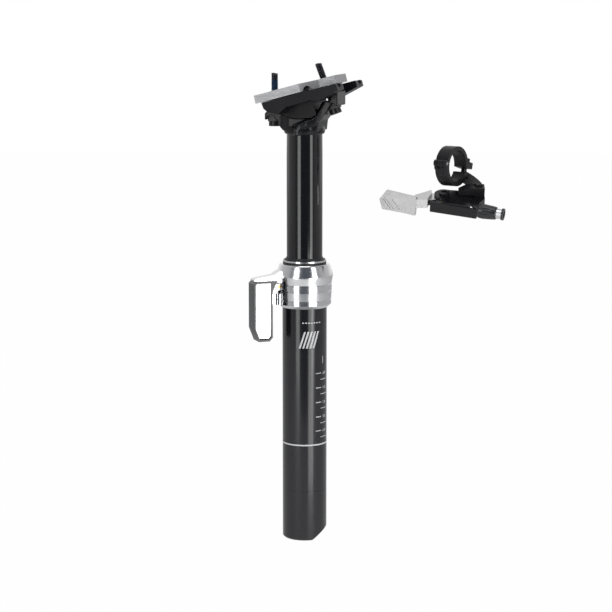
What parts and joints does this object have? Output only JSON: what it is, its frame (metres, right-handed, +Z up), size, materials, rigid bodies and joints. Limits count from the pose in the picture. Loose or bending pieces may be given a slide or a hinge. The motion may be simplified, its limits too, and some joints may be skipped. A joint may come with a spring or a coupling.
{
  "type": "dropper seatpost with bar remote",
  "caption": "Telescoping bicycle seatpost with gas spring, cable actuator at its collar, angled two-bolt saddle clamp and a separate thumb remote for the handlebar.",
  "frame": {"origin": "on the post's axis at the underside of the collar, where the frame's seat tube ends", "axes": "+Z up along the post, +X to the rear of the bicycle, +Y to the bicycle's right side as seen from behind"},
  "size_m": [0.1727, 0.0869, 0.3425],
  "materials": {
    "tube_black": "gloss black anodised",
    "stanchion_black": "polished black anodised",
    "head_black": "satin black anodised",
    "clamp_silver": "fine satin",
    "collar_silver": "polished",
    "seal_rubber": "matt",
    "ring_steel": "bright",
    "bushing_plastic": "smooth",
    "key_brass": "satin",
    "housing_black": "gloss black",
    "plate_mirror": "mirror",
    "inner_aluminium": "machined",
    "inner_steel": "ground",
    "bumper_rubber": "matt",
    "bolt_black": "black oxide",
    "nut_steel": "turned",
    "washer_black": "satin black",
    "remote_black": "satin black",
    "lever_silver": "polished",
    "bush_bronze": "smooth",
    "knob_black": "gloss",
    "barrel_silver": "bright",
    "clamp_black": "textured black"
  },
  "bodies": {
    "lower_post": {"outer_tube": "tube_black", "bottom_cap": "tube_black", "rod_mount": "inner_aluminium", "gas_rod": "inner_steel", "rod_nut": "inner_steel", "piston": "inner_aluminium", "piston_seal": "seal_rubber", "top_out_bumper": "bumper_rubber", "bottom_bumper": "bumper_rubber", "rocker_pin": "inner_steel", "collar": "collar_silver", "wiper_seal": "seal_rubber", "seal_ring": "ring_steel", "upper_bushing": "bushing_plastic", "actuator_housing": "housing_black", "actuator_cover_plate": "plate_mirror", "lever_pin": "inner_steel", "lever_spring": "inner_steel", "remote_body": "remote_black", "remote_pivot_bolt": "bolt_black", "remote_lever_bush": "bush_bronze", "bar_clamp_base": "clamp_black", "clamp_hinge_pin": "inner_steel", "bar_clamp_bolt": "bolt_black", "clamp_foot_bolt": "bolt_black"},
    "upper_post": {"stanchion": "stanchion_black", "guide_keys": "key_brass", "lower_glide_bushing": "bushing_plastic", "cylinder_seal_head": "inner_aluminium", "rod_seal": "seal_rubber", "gas_cylinder": "inner_aluminium", "floating_piston": "inner_aluminium", "cylinder_top_plug": "inner_aluminium", "head": "head_black"},
    "saddle_clamp": {"upper_saddle_clamp": "clamp_silver", "lower_saddle_cradle": "head_black"},
    "front_bolt": {"front_clamp_bolt": "bolt_black", "front_half_washer": "washer_black"},
    "rear_bolt": {"rear_clamp_bolt": "bolt_black", "rear_half_washer": "washer_black"},
    "front_nut": {"front_barrel_nut": "nut_steel"},
    "rear_nut": {"rear_barrel_nut": "nut_steel"},
    "cable_lever": {"actuator_lever": "inner_aluminium", "actuator_cable_anchor": "key_brass"},
    "strip": {"release_strip": "inner_steel"},
    "rocker": {"valve_rocker": "inner_steel"},
    "valve": {"valve_pin": "inner_steel"},
    "thumb_lever": {"remote_lever": "lever_silver", "remote_cable_anchor": "key_brass"},
    "adjuster": {"adjuster_knob": "knob_black", "adjuster_barrel": "barrel_silver", "adjuster_end_ring": "knob_black"},
    "clamp_band": {"bar_clamp_band": "clamp_black"}
  },
  "joints": [
    {"name": "post_travel", "type": "slide", "parent": "lower_post", "child": "upper_post", "axis": [0, 0, 1], "range_m": [-0.08, 0]},
    {"name": "saddle_tilt", "type": "hinge", "parent": "upper_post", "child": "saddle_clamp", "pos_m": [0, 0, 0.1705], "axis": [0, -1, 0], "range_deg": [-4, 4]},
    {"name": "front_bolt_swing", "type": "hinge", "parent": "upper_post", "child": "front_bolt", "pos_m": [-0.0224, 0, 0.1323], "axis": [0, -1, 0], "range_deg": [-8, 8]},
    {"name": "front_nut_turn", "type": "hinge", "parent": "saddle_clamp", "child": "front_nut", "pos_m": [-0.02241, 0, 0.14725], "axis": [0, -1, 0], "range_deg": [-12, 12]},
    {"name": "rear_bolt_swing", "type": "hinge", "parent": "upper_post", "child": "rear_bolt", "pos_m": [0.022, 0, 0.1417], "axis": [0, -1, 0], "range_deg": [-8, 8]},
    {"name": "rear_nut_turn", "type": "hinge", "parent": "saddle_clamp", "child": "rear_nut", "pos_m": [0.01584, 0, 0.1575], "axis": [0, -1, 0], "range_deg": [-12, 12]},
    {"name": "strip_slide", "type": "slide", "parent": "lower_post", "child": "strip", "axis": [0, 0, 1], "range_m": [-0.0022, 0], "stiffness_N_per_m": 185, "springref_m": 0.0045},
    {"name": "actuator_pull", "type": "hinge", "parent": "lower_post", "child": "cable_lever", "pos_m": [-0.02528, -0.02121, 0.012], "axis": [-0.6428, 0.766, 0], "range_deg": [0, 7.5]},
    {"name": "rocker_turn", "type": "hinge", "parent": "lower_post", "child": "rocker", "pos_m": [-0.00383, -0.00321, -0.1459], "axis": [0.6428, -0.766, 0], "range_deg": [0, 15]},
    {"name": "valve_lift", "type": "slide", "parent": "lower_post", "child": "valve", "axis": [0, 0, 1], "range_m": [0, 0.0013]},
    {"name": "thumb_lever_swing", "type": "hinge", "parent": "lower_post", "child": "thumb_lever", "pos_m": [0.0928, 0.0338, 0.0817], "axis": [-0.1281, 0.352, -0.9272], "range_deg": [0, 25], "stiffness_Nm_per_rad": 0.05, "springref_deg": -11.46},
    {"name": "barrel_adjuster_turn", "type": "hinge", "parent": "lower_post", "child": "adjuster", "pos_m": [0.11901, 0.02849, 0.07011], "axis": [0.9917, 0.0495, -0.1182], "continuous": true},
    {"name": "clamp_band_close", "type": "hinge", "parent": "lower_post", "child": "clamp_band", "pos_m": [0.0938, 0.02224, 0.10303], "axis": [0.9613, -0.2756, 0], "range_deg": [-3, 0]}
  ],
  "couplings": [
    {"joint": "front_bolt_swing", "follows": "saddle_tilt", "ratio": -1.5632},
    {"joint": "front_nut_turn", "follows": "saddle_tilt", "ratio": -2.5632},
    {"joint": "rear_bolt_swing", "follows": "saddle_tilt", "ratio": -1.051},
    {"joint": "rear_nut_turn", "follows": "saddle_tilt", "ratio": -2.051},
    {"joint": "actuator_pull", "follows": "strip_slide", "rad_per_m": -55.556},
    {"joint": "rocker_turn", "follows": "strip_slide", "rad_per_m": -112.22},
    {"joint": "valve_lift", "follows": "strip_slide", "ratio": -0.5456}
  ]
}
